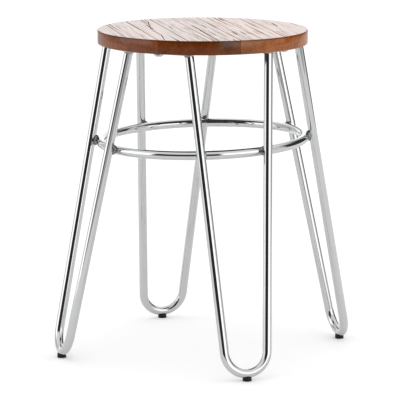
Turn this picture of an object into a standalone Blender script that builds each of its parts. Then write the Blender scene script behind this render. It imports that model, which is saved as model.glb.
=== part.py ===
"""Low round stool: a plank seat on four bent-rod hairpin legs, tied together by a welded ring.

Units are metres and +Z is up. The stool's axis is the Z axis and its pads stand on z = 0.
The legs stand on the -Y (front), +X (right), +Y (back) and -X (left) axes. Each leg is one
rod bent into a long U. Flat bars join the tops of neighbouring legs, and one bolt through
each bar holds the seat. Nothing on the stool moves.
"""
import math

import bmesh
import bpy
from mathutils import Matrix, Vector

# ---------------------------------------------------------------- driving dimensions
GAP = 0.0003                     # clearance between pieces that touch

SEAT_TOP = 0.466                 # height of the sitting surface
SEAT_RADIUS = 0.150
SEAT_THICKNESS = 0.020
SEAT_ROUNDING = 0.0015           # eased top and bottom rim
GRAIN_TURN = math.radians(-4.75)  # staves lie this far off the front-to-back axis
STAVE_JOINTS = (-0.126, -0.089, -0.050, -0.016, 0.022, 0.055, 0.091)  # glue lines, left to right

ROD_RADIUS = 0.00635
FOOT_DISTANCE = 0.211            # from the stool's axis to the bottom of each leg
ROD_CLEARANCE = 0.004            # rod above the floor, on its pad
BEND_RADIUS = 0.031              # centreline of the bend at the foot
LEG_TOP_DISTANCE = 0.1247        # from the stool's axis to the middle of a leg, under the seat
LEG_TOP_SPREAD = 0.0575          # from the middle of a leg to each rod's axis, under the seat

RING_HEIGHT = 0.3075
RING_TILT = math.radians(1.5)    # the ring is welded in with its +X side a little high

BAR_WIDTH = 0.014
BAR_THICKNESS = 0.0015
BAR_OVERHANG = 0.0065            # bar beyond the rods' axes
BAR_CORNER = 0.002

BOLT_SHANK_RADIUS = 0.003
BOLT_HEAD_RADIUS = 0.0060
BOLT_HEAD_HEIGHT = 0.0027
BOLT_FLAT_ANGLE = math.radians(22.5)   # the dome is flat below this angle from its axis
BOLT_ENGAGEMENT = 0.010          # shank inside the seat
BOLT_TIP_CHAMFER = 0.00075
CLEARANCE_HOLE_RADIUS = 0.0034
WASHER_RADIUS = 0.0072
WASHER_THICKNESS = 0.0014
INSERT_RADIUS = 0.0045
INSERT_BORE_RADIUS = 0.0034
INSERT_LENGTH = 0.012
INSERT_HOLE_DEPTH = 0.0135

PAD_RADIUS = 0.0065
PAD_HEIGHT = 0.0068              # to the lips on either side of the rod
PAD_CHAMFER = 0.0007
PAD_PEG_RADIUS = 0.0018
PAD_PEG_TOP = 0.0105
PEG_HOLE_TOP = 0.0115

RING_WELD_SIZE = (0.0078, 0.0078, 0.0042)   # along the ring, along the rod, across both
BAR_WELD_TOP_RADIUS = 0.0073
BAR_WELD_BOTTOM_RADIUS = 0.0069
BAR_WELD_HEIGHT = 0.0018
BAR_WELD_OUTBOARD = 0.002        # the bead stops this far past the rod's axis

ROD_SIDES = 16
BEND_STEPS = 18
RING_STEPS = 72
SEAT_STEPS = 96
SMALL_STEPS = 24
PEG_STEPS = 12
DOME_STEPS = 5
CORNER_STEPS = 3
SMOOTH_ANGLE = math.radians(30)  # edges sharper than this stay crisp
CUT_TOLERANCE = 1e-7

# ---------------------------------------------------------------- derived sizes
UNDERSIDE = SEAT_TOP - SEAT_THICKNESS
BAR_BOTTOM = UNDERSIDE - GAP - BAR_THICKNESS
LEG_TOP = BAR_BOTTOM - GAP
WASHER_TOP = BAR_BOTTOM - GAP
HEAD_TOP = WASHER_TOP - WASHER_THICKNESS - GAP
FOOT_HEIGHT = ROD_CLEARANCE + ROD_RADIUS    # centreline of the bend's lowest point

LEG_NAMES = ("right", "back", "left", "front")   # at 0, 90, 180 and 270 degrees
CORNER_NAMES = ("back_right", "back_left", "front_left", "front_right")

# name: base colour, metallic, roughness
MATERIALS = {
    "chrome": ((0.80, 0.81, 0.83), 1.0, 0.05),
    "weld": ((0.55, 0.55, 0.56), 1.0, 0.30),
    "zinc_steel": ((0.62, 0.63, 0.64), 1.0, 0.35),
    "brass": ((0.70, 0.55, 0.25), 1.0, 0.35),
    "black_rubber": ((0.012, 0.012, 0.013), 0.0, 0.55),
    "wood_brown": ((0.235, 0.095, 0.042), 0.0, 0.35),
    "wood_red": ((0.165, 0.052, 0.022), 0.0, 0.35),
    "wood_dark": ((0.110, 0.048, 0.022), 0.0, 0.35),
    "wood_orange": ((0.335, 0.125, 0.045), 0.0, 0.35),
}
STAVE_TONES = ("wood_brown", "wood_brown", "wood_red", "wood_red",
               "wood_dark", "wood_brown", "wood_orange", "wood_orange")


# ---------------------------------------------------------------- general helpers
def clear_scene():
    for thing in list(bpy.data.objects):
        bpy.data.objects.remove(thing, do_unlink=True)


def material(name):
    found = bpy.data.materials.get(name)
    if found:
        return found
    colour, metallic, roughness = MATERIALS[name]
    made = bpy.data.materials.new(name)
    made.use_nodes = True
    made.diffuse_color = (*colour, 1.0)
    shader = made.node_tree.nodes["Principled BSDF"]
    shader.inputs["Base Color"].default_value = (*colour, 1.0)
    shader.inputs["Metallic"].default_value = metallic
    shader.inputs["Roughness"].default_value = roughness
    return made


def mesh_from(build, name, material_name, smooth=False):
    """Turn a bmesh into a mesh with its material, with faces pointing out."""
    bmesh.ops.recalc_face_normals(build, faces=build.faces)
    mesh = bpy.data.meshes.new(name)
    build.to_mesh(mesh)
    build.free()
    mesh.materials.append(material(material_name))
    if smooth:
        mesh.shade_smooth()
        mesh.set_sharp_from_angle(angle=SMOOTH_ANGLE)
    return mesh


def place(name, mesh, parent, location=(0.0, 0.0, 0.0), rotation=(0.0, 0.0, 0.0)):
    piece = bpy.data.objects.new(name, mesh)
    bpy.context.scene.collection.objects.link(piece)
    piece.location = location
    piece.rotation_euler = rotation
    piece.parent = parent
    return piece


def cutter(name, mesh, parent, location=(0.0, 0.0, 0.0), rotation=(0.0, 0.0, 0.0)):
    """A helper that only takes material away from other pieces."""
    helper = place(name, mesh, parent, location, rotation)
    helper.hide_render = True
    helper.display_type = "WIRE"
    return helper


def cut(piece, *helpers):
    for helper in helpers:
        modifier = piece.modifiers.new(helper.name, "BOOLEAN")
        modifier.operation = "DIFFERENCE"
        modifier.object = helper


def skin(build, rings, wrap):
    """Join rings of vertices with quads, closing onto the first ring or capping the ends."""
    count = len(rings[0])
    following = rings[1:] + rings[:1] if wrap else rings[1:]
    for low, high in zip(rings, following):
        for side in range(count):
            after = (side + 1) % count
            build.faces.new((low[side], low[after], high[after], high[side]))
    if not wrap:
        build.faces.new(rings[0])
        build.faces.new(rings[-1])


def turned(profile, steps, wrap=False):
    """Revolve (radius, height) points about Z. A wrapped profile makes a ring."""
    build = bmesh.new()
    turns = [2.0 * math.pi * step / steps for step in range(steps)]
    rings = [[build.verts.new((radius * math.cos(turn), radius * math.sin(turn), height))
              for turn in turns] for radius, height in profile]
    skin(build, rings, wrap)
    return build


def tube(path, normal, radius):
    """Sweep a round section along a flat path, whose plane has the given normal."""
    build = bmesh.new()
    turns = [2.0 * math.pi * (side + 0.5) / ROD_SIDES for side in range(ROD_SIDES)]
    rings = []
    for index, point in enumerate(path):
        before = path[max(index - 1, 0)]
        after = path[min(index + 1, len(path) - 1)]
        across = normal.cross((after - before).normalized())
        rings.append([build.verts.new(point + radius * (math.cos(turn) * across
                                                        + math.sin(turn) * normal))
                      for turn in turns])
    skin(build, rings, wrap=False)
    return build


def trim(build, point, direction):
    """Cut off everything beyond a plane and close the cut."""
    bmesh.ops.bisect_plane(build, geom=build.verts[:] + build.edges[:] + build.faces[:],
                           dist=CUT_TOLERANCE, plane_co=point, plane_no=direction, clear_outer=True)
    bmesh.ops.holes_fill(build, edges=[edge for edge in build.edges if edge.is_boundary])


# ---------------------------------------------------------------- leg geometry
# A leg is drawn in its own frame: +X points away from the stool's axis, +Y is across the leg.
FOOT_POINT = Vector((FOOT_DISTANCE, 0.0, FOOT_HEIGHT))
LEG_SLOPE = Vector((LEG_TOP_DISTANCE, 0.0, UNDERSIDE)) - FOOT_POINT
LEG_RISE = LEG_SLOPE.normalized()             # up the middle of the leg
LEG_ACROSS = Vector((0.0, 1.0, 0.0))
LEG_NORMAL = LEG_ACROSS.cross(LEG_RISE)
OVERRUN = 0.012                               # rod beyond the seat's underside, before trimming


def in_leg_plane(across, along):
    return FOOT_POINT + across * LEG_ACROSS + along * LEG_RISE


def bend_end_angle():
    """Where the bend meets the straight rod on the +Y side, from the bend's centre."""
    reach_across = LEG_TOP_SPREAD
    reach_up = LEG_SLOPE.length - BEND_RADIUS
    reach = math.hypot(reach_across, reach_up)
    return math.atan2(reach_up, reach_across) - math.acos(BEND_RADIUS / reach)


def bend_point(angle):
    return in_leg_plane(BEND_RADIUS * math.cos(angle), BEND_RADIUS * (1.0 + math.sin(angle)))


def straight_rod():
    """The +Y rod's line: the end of the bend, the direction up to the seat, and the top."""
    start = bend_point(bend_end_angle())
    top = in_leg_plane(LEG_TOP_SPREAD, LEG_SLOPE.length)
    return start, (top - start).normalized(), top


def leg_path():
    _, direction, top = straight_rod()
    mirror = Vector((1.0, -1.0, 1.0))
    end = top + OVERRUN * direction
    high = bend_end_angle()
    low = -math.pi - high
    angles = [low + (high - low) * step / BEND_STEPS for step in range(BEND_STEPS + 1)]
    return [end * mirror] + [bend_point(angle) for angle in angles] + [end]


def leg_build(radius, trimmed):
    build = tube(leg_path(), LEG_NORMAL, radius)
    if trimmed:
        trim(build, Vector((0.0, 0.0, LEG_TOP)), Vector((0.0, 0.0, 1.0)))
    return build


def leg_turn(index):
    return Matrix.Rotation(index * math.pi / 2.0, 4, "Z")


def rods():
    """Every straight rod as (leg index, rod number, point, direction) in the stool's frame."""
    point, direction, _ = straight_rod()
    for index in range(len(LEG_NAMES)):
        for number, side in ((1, -1.0), (2, 1.0)):
            mirror = Matrix.Diagonal((1.0, side, 1.0, 1.0))
            turn = leg_turn(index) @ mirror
            yield index, number, turn @ point, turn.to_3x3() @ direction


# ---------------------------------------------------------------- ring geometry
class RingFit:
    """The largest ring, at its height and tilt, that fits inside the eight rods with a gap."""

    def __init__(self):
        self.rotation = Matrix.Rotation(-RING_TILT, 3, "Y")
        self.axis = self.rotation @ Vector((0.0, 0.0, 1.0))
        self.centre = Vector((0.0, 0.0, RING_HEIGHT))
        self.radius = min(self.reach(rod) for rod in rods())

    def directions(self, rod):
        """Ring's outward direction, its tangent, and the line of contact, at one rod."""
        _, _, point, direction = rod
        travel = (self.centre - point).dot(self.axis) / direction.dot(self.axis)
        crossing = point + travel * direction - self.centre
        outward = crossing.normalized()
        tangent = self.axis.cross(outward)
        contact = tangent.cross(direction).normalized()
        if contact.dot(outward) < 0.0:
            contact.negate()
        return crossing.length, outward, tangent, contact

    def reach(self, rod):
        distance, outward, _, contact = self.directions(rod)
        return distance - (2.0 * ROD_RADIUS + GAP) / outward.dot(contact)

    def contact_frame(self, rod):
        """Frame at the middle of the joint: along the ring, along the rod, across both."""
        distance, outward, tangent, contact = self.directions(rod)
        spacing = (distance - self.radius) * outward.dot(contact)
        middle = self.centre + self.radius * outward + 0.5 * spacing * contact
        upward = contact.cross(tangent)
        frame = Matrix((tangent, upward, contact)).transposed().to_4x4()
        frame.translation = middle
        return frame


# ---------------------------------------------------------------- pieces
def make_legs(parent):
    """Four legs from one shared mesh, each drilled under its bend for the pad's peg."""
    mesh = mesh_from(leg_build(ROD_RADIUS, trimmed=True), "leg", "chrome", smooth=True)
    hole_profile = [(PAD_PEG_RADIUS + GAP, 0.0), (PAD_PEG_RADIUS + GAP, PEG_HOLE_TOP)]
    hole_mesh = mesh_from(turned(hole_profile, PEG_STEPS), "peg_hole", "chrome")
    for index, name in enumerate(LEG_NAMES):
        turn = (0.0, 0.0, index * math.pi / 2.0)
        leg = place(name + "_leg", mesh, parent, rotation=turn)
        foot = leg_turn(index) @ Vector((FOOT_DISTANCE, 0.0, 0.0))
        cut(leg, cutter("cutter_peg_hole_" + name, hole_mesh, parent, location=foot))


def make_fat_legs(parent):
    """Helpers a little thicker than the rods, to shape what sits against them."""
    mesh = mesh_from(leg_build(ROD_RADIUS + GAP, trimmed=False), "fat_leg", "chrome")
    return [cutter("cutter_rod_" + name, mesh, parent,
                   rotation=(0.0, 0.0, index * math.pi / 2.0))
            for index, name in enumerate(LEG_NAMES)]


def make_foot_pads(parent, fat_legs):
    """Round glides with a saddle for the rod and a peg pushed up into it."""
    profile = [(PAD_RADIUS - PAD_CHAMFER, 0.0), (PAD_RADIUS, PAD_CHAMFER),
               (PAD_RADIUS - 0.5 * PAD_CHAMFER, PAD_HEIGHT)]
    saddle = mesh_from(turned(profile, SMALL_STEPS), "pad", "black_rubber", smooth=True)
    peg_profile = [(PAD_PEG_RADIUS, 0.5 * ROD_CLEARANCE), (PAD_PEG_RADIUS, PAD_PEG_TOP)]
    peg_mesh = mesh_from(turned(peg_profile, PEG_STEPS), "pad_peg", "black_rubber")
    for index, name in enumerate(LEG_NAMES):
        foot = leg_turn(index) @ Vector((FOOT_DISTANCE, 0.0, 0.0))
        pad = place(name + "_foot_pad", saddle, parent, location=foot)
        cut(pad, fat_legs[index])
        peg = cutter("peg_" + name, peg_mesh, parent, location=foot)
        joined = pad.modifiers.new("peg", "BOOLEAN")
        joined.operation = "UNION"
        joined.object = peg


def ring_mesh(fit, radius, name):
    turns = [2.0 * math.pi * (side + 0.5) / ROD_SIDES for side in range(ROD_SIDES)]
    profile = [(fit.radius + radius * math.cos(turn), radius * math.sin(turn)) for turn in turns]
    return mesh_from(turned(profile, RING_STEPS, wrap=True), name, "chrome", smooth=True)


def make_ring(parent, fit):
    place("foot_ring", ring_mesh(fit, ROD_RADIUS, "foot_ring"), parent,
          location=fit.centre, rotation=fit.rotation.to_euler())
    return cutter("cutter_ring", ring_mesh(fit, ROD_RADIUS + GAP, "fat_ring"), parent,
                  location=fit.centre, rotation=fit.rotation.to_euler())


def make_ring_welds(parent, fit, fat_legs, fat_ring):
    """A flattened bead at each crossing, fitted round both rods."""
    for rod in rods():
        index, number = rod[0], rod[1]
        build = bmesh.new()
        bmesh.ops.create_uvsphere(build, u_segments=SMALL_STEPS, v_segments=PEG_STEPS,
                                  radius=1.0, matrix=Matrix.Diagonal((*RING_WELD_SIZE, 1.0)))
        name = f"ring_weld_{LEG_NAMES[index]}_leg_{number}"
        mesh = mesh_from(build, name, "weld", smooth=True)
        frame = fit.contact_frame(rod)
        bead = place(name, mesh, parent, location=frame.translation, rotation=frame.to_euler())
        cut(bead, fat_legs[index], fat_ring)


def bar_frames():
    """Each bar's number and its two ends, from the rod of one leg to that of the next."""
    tops = {}
    for index, number, point, direction in rods():
        tops[index, number] = point + direction * ((LEG_TOP - point.z) / direction.z)
    for index in range(len(LEG_NAMES)):
        start = tops[index, 2]
        end = tops[(index + 1) % len(LEG_NAMES), 1]
        yield index, start, end


def make_bars(parent):
    for index, start, end in bar_frames():
        span = (end - start).length
        build = bmesh.new()
        size = (span + 2.0 * BAR_OVERHANG, BAR_WIDTH, BAR_THICKNESS, 1.0)
        bmesh.ops.create_cube(build, size=1.0, matrix=Matrix.Diagonal(size))
        upright = [edge for edge in build.edges
                   if abs(edge.verts[0].co.z - edge.verts[1].co.z) > 0.5 * BAR_THICKNESS]
        bmesh.ops.bevel(build, geom=upright, offset=BAR_CORNER, segments=CORNER_STEPS, profile=0.5,
                        affect="EDGES")
        corner = CORNER_NAMES[index]
        middle = 0.5 * (start + end)
        middle.z = BAR_BOTTOM + 0.5 * BAR_THICKNESS
        heading = math.atan2(end.y - start.y, end.x - start.x)
        mesh = mesh_from(build, "mounting_bar_" + corner, "chrome")
        bar = place("mounting_bar_" + corner, mesh, parent, location=middle,
                    rotation=(0.0, 0.0, heading))
        hole = turned([(CLEARANCE_HOLE_RADIUS, -BAR_THICKNESS),
                       (CLEARANCE_HOLE_RADIUS, BAR_THICKNESS)], SMALL_STEPS)
        cut(bar, cutter("cutter_bar_hole_" + corner, mesh_from(hole, "bar_hole", "chrome"),
                        parent, location=middle))


def make_bar_welds(parent, fat_legs):
    """A fillet round the inboard side of each rod's top, under the bar."""
    profile = [(BAR_WELD_BOTTOM_RADIUS, -BAR_WELD_HEIGHT), (BAR_WELD_TOP_RADIUS, 0.0)]
    for index, start, end in bar_frames():
        following = (index + 1) % len(LEG_NAMES)
        outboard = (end - start).normalized()
        for leg, number, top, outward in ((index, 2, start, -outboard),
                                          (following, 1, end, outboard)):
            build = turned(profile, SMALL_STEPS)
            trim(build, outward * BAR_WELD_OUTBOARD, outward)
            name = f"bar_weld_{LEG_NAMES[leg]}_leg_{number}"
            mesh = mesh_from(build, name, "weld", smooth=True)
            cut(place(name, mesh, parent, location=top), fat_legs[leg])


def bolt_profile():
    """Low domed head, from its flat underside up to the shank's tip."""
    dome = []
    for step in range(DOME_STEPS + 1):
        angle = BOLT_FLAT_ANGLE + (0.5 * math.pi - BOLT_FLAT_ANGLE) * step / DOME_STEPS
        dome.append((BOLT_HEAD_RADIUS * math.sin(angle),
                     HEAD_TOP - BOLT_HEAD_HEIGHT * math.cos(angle)))
    tip = UNDERSIDE + BOLT_ENGAGEMENT
    return dome + [(BOLT_SHANK_RADIUS, HEAD_TOP), (BOLT_SHANK_RADIUS, tip - BOLT_TIP_CHAMFER),
                   (BOLT_SHANK_RADIUS - BOLT_TIP_CHAMFER, tip)]


def make_fasteners(parent):
    """Bolt, washer and threaded insert at the middle of each bar."""
    bolt = mesh_from(turned(bolt_profile(), SMALL_STEPS), "seat_bolt", "zinc_steel", smooth=True)
    washer_bottom = WASHER_TOP - WASHER_THICKNESS
    washer_profile = [(CLEARANCE_HOLE_RADIUS, washer_bottom), (WASHER_RADIUS, washer_bottom),
                      (WASHER_RADIUS, WASHER_TOP), (CLEARANCE_HOLE_RADIUS, WASHER_TOP)]
    washer = mesh_from(turned(washer_profile, SMALL_STEPS, wrap=True), "washer", "zinc_steel",
                       smooth=True)
    insert_top = UNDERSIDE + INSERT_LENGTH
    insert_profile = [(INSERT_BORE_RADIUS, UNDERSIDE), (INSERT_RADIUS, UNDERSIDE),
                      (INSERT_RADIUS, insert_top), (INSERT_BORE_RADIUS, insert_top)]
    insert = mesh_from(turned(insert_profile, SMALL_STEPS, wrap=True), "insert", "brass",
                       smooth=True)
    for index, start, end in bar_frames():
        middle = 0.5 * (start + end)
        middle.z = 0.0
        corner = CORNER_NAMES[index]
        place("seat_bolt_" + corner, bolt, parent, location=middle)
        place("bolt_washer_" + corner, washer, parent, location=middle)
        place("threaded_insert_" + corner, insert, parent, location=middle)


def seat_disc():
    top, bottom, eased = SEAT_TOP, UNDERSIDE, SEAT_ROUNDING
    slight = eased * (1.0 - math.sqrt(0.5))
    profile = [(SEAT_RADIUS - eased, bottom), (SEAT_RADIUS - slight, bottom + slight),
               (SEAT_RADIUS, bottom + eased), (SEAT_RADIUS, top - eased),
               (SEAT_RADIUS - slight, top - slight), (SEAT_RADIUS - eased, top)]
    return turned(profile, SEAT_STEPS)


def make_staves(parent):
    """Slices of one disc, with blind holes for the threaded inserts."""
    across = Vector((math.cos(GRAIN_TURN), math.sin(GRAIN_TURN), 0.0))
    hole_profile = [(INSERT_RADIUS + GAP, UNDERSIDE - GAP),
                    (INSERT_RADIUS + GAP, UNDERSIDE + INSERT_HOLE_DEPTH)]
    hole_mesh = mesh_from(turned(hole_profile, SMALL_STEPS), "insert_hole", "wood_red")
    holes = []
    for index, start, end in bar_frames():
        middle = 0.5 * (start + end)
        middle.z = 0.0
        holes.append((middle.dot(across),
                      cutter("cutter_insert_" + CORNER_NAMES[index], hole_mesh, parent,
                             location=middle)))
    limits = (-SEAT_RADIUS, *STAVE_JOINTS, SEAT_RADIUS)
    for number, (low, high) in enumerate(zip(limits, limits[1:]), start=1):
        build = seat_disc()
        if low > -SEAT_RADIUS:
            trim(build, across * (low + 0.5 * GAP), -across)
        if high < SEAT_RADIUS:
            trim(build, across * (high - 0.5 * GAP), across)
        name = f"seat_stave_{number}"
        mesh = mesh_from(build, name, STAVE_TONES[number - 1], smooth=True)
        stave = place(name, mesh, parent)
        cut(stave, *(hole for place_across, hole in holes if low < place_across < high))


def build_stool():
    clear_scene()
    seat = place("seat", None, None)
    frame = place("frame", None, None)
    fit = RingFit()
    fat_legs = make_fat_legs(frame)
    make_legs(frame)
    make_foot_pads(frame, fat_legs)
    fat_ring = make_ring(frame, fit)
    make_ring_welds(frame, fit, fat_legs, fat_ring)
    make_bars(frame)
    make_bar_welds(frame, fat_legs)
    make_fasteners(seat)
    make_staves(seat)


build_stool()
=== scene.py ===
"""Looks of the low round stool: varnished sawn planks on four chromed hairpin legs.

Units are metres and +Z is up. Every piece is rebuilt finely where its CAD node stands.
The legs stand on the -Y (front), +X (right), +Y (back) and -X (left) axes.
"""
import math

import bmesh
import bpy
import numpy as np
from mathutils import Matrix, Vector


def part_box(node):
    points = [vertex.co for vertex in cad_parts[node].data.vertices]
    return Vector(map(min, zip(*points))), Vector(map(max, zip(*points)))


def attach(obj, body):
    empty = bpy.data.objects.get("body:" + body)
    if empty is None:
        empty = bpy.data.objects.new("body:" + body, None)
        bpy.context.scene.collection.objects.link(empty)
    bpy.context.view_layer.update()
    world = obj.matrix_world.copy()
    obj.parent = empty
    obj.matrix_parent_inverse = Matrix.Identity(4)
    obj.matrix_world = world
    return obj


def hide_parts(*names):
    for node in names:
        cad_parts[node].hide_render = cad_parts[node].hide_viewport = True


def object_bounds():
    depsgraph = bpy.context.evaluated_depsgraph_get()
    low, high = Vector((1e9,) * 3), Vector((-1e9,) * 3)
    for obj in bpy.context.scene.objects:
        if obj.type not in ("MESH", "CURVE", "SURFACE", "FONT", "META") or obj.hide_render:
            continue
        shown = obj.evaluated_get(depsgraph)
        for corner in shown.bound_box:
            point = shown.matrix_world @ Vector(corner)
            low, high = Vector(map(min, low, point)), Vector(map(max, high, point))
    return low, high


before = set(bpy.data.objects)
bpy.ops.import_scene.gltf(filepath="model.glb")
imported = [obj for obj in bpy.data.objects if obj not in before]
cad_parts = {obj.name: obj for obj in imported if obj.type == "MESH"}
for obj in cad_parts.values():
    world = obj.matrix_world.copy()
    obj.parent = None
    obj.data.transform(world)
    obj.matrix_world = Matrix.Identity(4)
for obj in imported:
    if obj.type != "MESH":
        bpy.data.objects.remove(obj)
CAD_LOW, CAD_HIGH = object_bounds()

# ---------------------------------------------------------------- sizes, as in the CAD
GAP = 0.0003
SEAT_TOP = CAD_HIGH.z
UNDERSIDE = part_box("seat_stave_4")[0].z
SEAT_RADIUS = 0.150
SEAT_ROUNDING = 0.0015
GRAIN_TURN = math.radians(-4.75)
# across the grain, from the middle of the seat
STAVE_JOINTS = (-0.126, -0.089, -0.050, -0.016, 0.022, 0.055, 0.091)
STAVE_GAP = 0.0001
LEVEL_STEPS = (0.00006, 0.0, 0.00012, 0.00003, 0.0001, 0.0, 0.0001, 0.00004)   # staves set low
HELPER_CLEARANCE = 0.00003       # between a weld or pad and the rod it is cut to fit

PAD_RADIUS = 0.0065
PAD_HEIGHT = 0.0068
PAD_ROUNDING = 0.0009
# the pad's side above its rounding: (distance in from its radius, height)
PAD_SIDE = ((0.0001, 0.0022), (0.0004, 0.0026), (0.0004, 0.0032), (0.0001, 0.0036),
            (0.0003, PAD_HEIGHT - 0.0006), (0.0008, PAD_HEIGHT))

ROD_RADIUS = 0.00635
FOOT_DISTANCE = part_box("right_foot_pad")[1].x - PAD_RADIUS
ROD_CLEARANCE = 0.004            # rod above the floor, on its pad
FOOT_HEIGHT = ROD_CLEARANCE + ROD_RADIUS    # middle of the bend's lowest point
BEND_RADIUS = 0.031
LEG_TOP_DISTANCE = 0.1247
LEG_TOP_SPREAD = 0.0575
LEG_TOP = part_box("front_leg")[1].z

RING_HEIGHT = 0.3075
RING_TILT = math.radians(1.5)
RING_WELD_SIZE = (0.0078, 0.0078, 0.0042)   # along the ring, along the rod, across both
RING_WELD_RIPPLE = 0.035
RING_WELD_WAVES = 5.0

BAR_WIDTH = 0.014
BAR_THICKNESS = 0.0015
BAR_OVERHANG = 0.0065
BAR_CORNER = 0.002
BAR_EDGE = 0.0004
BAR_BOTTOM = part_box("mounting_bar_front_left")[0].z

BOLT_HEAD_RADIUS = 0.0060
BOLT_HEAD_HEIGHT = 0.0026
BOLT_HEAD_FLAT = 0.0004          # radius of the flat in the middle of the dome
BOLT_SHANK_RADIUS = 0.003
BOLT_ENGAGEMENT = 0.010          # shank inside the seat
BOLT_TIP_CHAMFER = 0.0008
SOCKET_RADIUS = 0.0023
SOCKET_DEPTH = 0.0013
SOCKET_OVERCUT = 0.001           # its cutter starts this far below the head
WASHER_RADIUS = 0.0072
WASHER_THICKNESS = 0.0014
WASHER_ROUNDING = 0.00025
HOLE_RADIUS = 0.0034
INSERT_RADIUS = 0.0045
INSERT_LENGTH = 0.012
INSERT_ROUNDING = 0.0002
INSERT_HOLE_DEPTH = 0.0135

BAR_WELD_TOP_RADIUS = 0.0072
BAR_WELD_BOTTOM_RADIUS = 0.0068
BAR_WELD_HEIGHT = 0.0018
BAR_WELD_OUTBOARD = 0.002        # the bead stops this far past the rod's axis
BAR_WELD_SWELL = 0.00015         # by which its skirt stands out at half height
BAR_WELD_LIP = 0.0003            # it has its full radius from this far below its top
BAR_WELD_RIPPLE = 0.010
BAR_WELD_WAVES = 13.0

LEG_NAMES = ("right", "back", "left", "front")
CORNER_NAMES = ("back_right", "back_left", "front_left", "front_right")

# ---------------------------------------------------------------- fineness
ROD_SIDES = 40
BEND_STEPS = 48
RING_STEPS = 240
COLUMN_WIDTH = 0.0004            # seat columns across the grain
ROW_COUNT = 130                  # seat rows along the grain
FAN_DENSITY = 1.6                # more columns on the two outer staves
FAN_END = math.radians(0.6)      # their last column, from the middle of the rim
ROUND_STEPS = 5
PAD_ROUND_STEPS = 6
DOME_STEPS = 12
TURN_STEPS = 64
BEAD_STEPS = 40                  # of a ring weld, from pole to pole
BAR_CORNER_STEPS = 8
BAR_EDGE_STEPS = 3
SOCKET_SIDES = 6
SMOOTH_ANGLE = math.radians(38)
CUT_TOLERANCE = 1e-7

# ---------------------------------------------------------------- camera and studio
CAMERA_BEARING = math.radians(-16.95)   # 0 looks along +Y
CAMERA_DISTANCE = 3.917
CAMERA_HEIGHT = 0.917
CAMERA_PITCH = math.radians(10.12)      # below level
CAMERA_YAW = math.radians(0.055)        # to the left of the stool's axis
CAMERA_LENS = 248.5
WORLD_LEVEL = 1.06               # makes the open floor white
FLOOR_GLOW = 0.12                # keeps it white under the stool as well
FLOOR_FRONT = 1.25               # paper ends this far in front of the stool
FLOOR_BACK = 5.0
FLOOR_SIDE = 4.0
FLOOR_DROP = 0.0001              # paper lies this far under the pads
PAPER_WHITE = (0.948, 0.952)     # from fleck to fleck

DARK_UNDERSIDE = (0.070, 0.066, 0.063)        # darker, greyer colour of the underside, which has little varnish
FACE_WOOD_AND_TOP_LIGHT = (0.330, 0.140, 0.070)        # sanded face of every plank under its varnish, lighter than the planks' edges: painted light from above
# end-grain colour of each plank, left to right
PLANK_COLOURS = ((0.205, 0.062, 0.020), (0.178, 0.052, 0.016), (0.128, 0.030, 0.004),
                 (0.125, 0.028, 0.003), (0.124, 0.038, 0.010), (0.248, 0.084, 0.027),
                 (0.328, 0.101, 0.024), (0.328, 0.099, 0.022))
DARK_GRAIN = 0.62                # of the plank's colour, in its darkest grain
LIGHT_GRAIN = 1.30
RING_WANDER = (0.012, 0.0, 0.012)        # by which noise bends the growth rings


# where one colour or finish gives way to the next, as two depths below the seat's top
FACE_DEPTH = (0.00045, 0.0009)   # the face's lighter colour, painted light from above, ends
TOP_VARNISH = (0.00038, 0.00060)     # the thick varnish ends
DARK_BAND_TOP = (0.0004, 0.0009)     # the darker band round the rim begins
DARK_BAND_FOOT = (0.0016, 0.0032)    # and ends
EDGE_VARNISH = (0.0011, 0.0016)  # the edge's own varnish begins
UNDERSIDE_BLEND = (0.0002, 0.0006)   # above the underside, where its darker colour and thin varnish end

# where each stave's pith lies, from its own middle: (across, height)
STAVE_PITHS = ((0.030, -0.060), (-0.045, 0.070), (0.020, -0.045), (-0.012, 0.090),
               (0.035, 0.055), (-0.020, -0.080), (0.012, -0.022), (-0.050, 0.040))


# ---------------------------------------------------------------- node helpers
def feed(tree, socket, value):
    """Links another node's output to the socket, or sets a plain value."""
    if isinstance(value, bpy.types.NodeSocket):
        tree.links.new(value, socket)
    else:
        socket.default_value = value


def feed_inputs(tree, node, **inputs):
    """Feeds inputs by name. An underscore stands for a space."""
    for name, value in inputs.items():
        feed(tree, node.inputs[name.replace("_", " ")], value)


def add_node(tree, kind, settings=None, **inputs):
    """Adds a shader node. An input is a value or another node's output."""
    made = tree.nodes.new("ShaderNode" + kind)
    for name, value in (settings or {}).items():
        setattr(made, name, value)
    feed_inputs(tree, made, **inputs)
    return made


def maths(tree, operation, first, second=0.0):
    made = add_node(tree, "Math", {"operation": operation})
    feed(tree, made.inputs[0], first)
    feed(tree, made.inputs[1], second)
    return made.outputs[0]


def between(tree, value, low, high, out_low=0.0, out_high=1.0, smooth=False):
    """Maps low to high onto out_low to out_high, and holds the value outside them."""
    settings = {"interpolation_type": "SMOOTHSTEP"} if smooth else {}
    made = add_node(tree, "MapRange", settings, Value=value, From_Min=low, From_Max=high,
                    To_Min=out_low, To_Max=out_high)
    return made.outputs["Result"]


def ramp(tree, factor, stops):
    """Colour ramp through (position, colour) stops."""
    made = add_node(tree, "ValToRGB", Fac=factor)
    elements = made.color_ramp.elements
    while len(elements) > 1:
        elements.remove(elements[-1])
    for index, (position, colour) in enumerate(stops):
        element = elements[0] if index == 0 else elements.new(position)
        element.position = position
        element.color = (*colour, 1.0)
    return made.outputs["Color"]


def blend_colours(tree, factor, first, second, mode="MIX"):
    made = add_node(tree, "Mix", {"data_type": "RGBA", "blend_type": mode}, Factor=factor)
    for socket, value in ((made.inputs[6], first), (made.inputs[7], second)):
        feed(tree, socket, (*value, 1.0) if isinstance(value, tuple) else value)
    return made.outputs[2]


def noise(tree, coordinates, scale, detail=2.0, roughness=0.5):
    return add_node(tree, "TexNoise", Vector=coordinates, Scale=scale, Detail=detail,
                    Roughness=roughness).outputs["Fac"]


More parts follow.
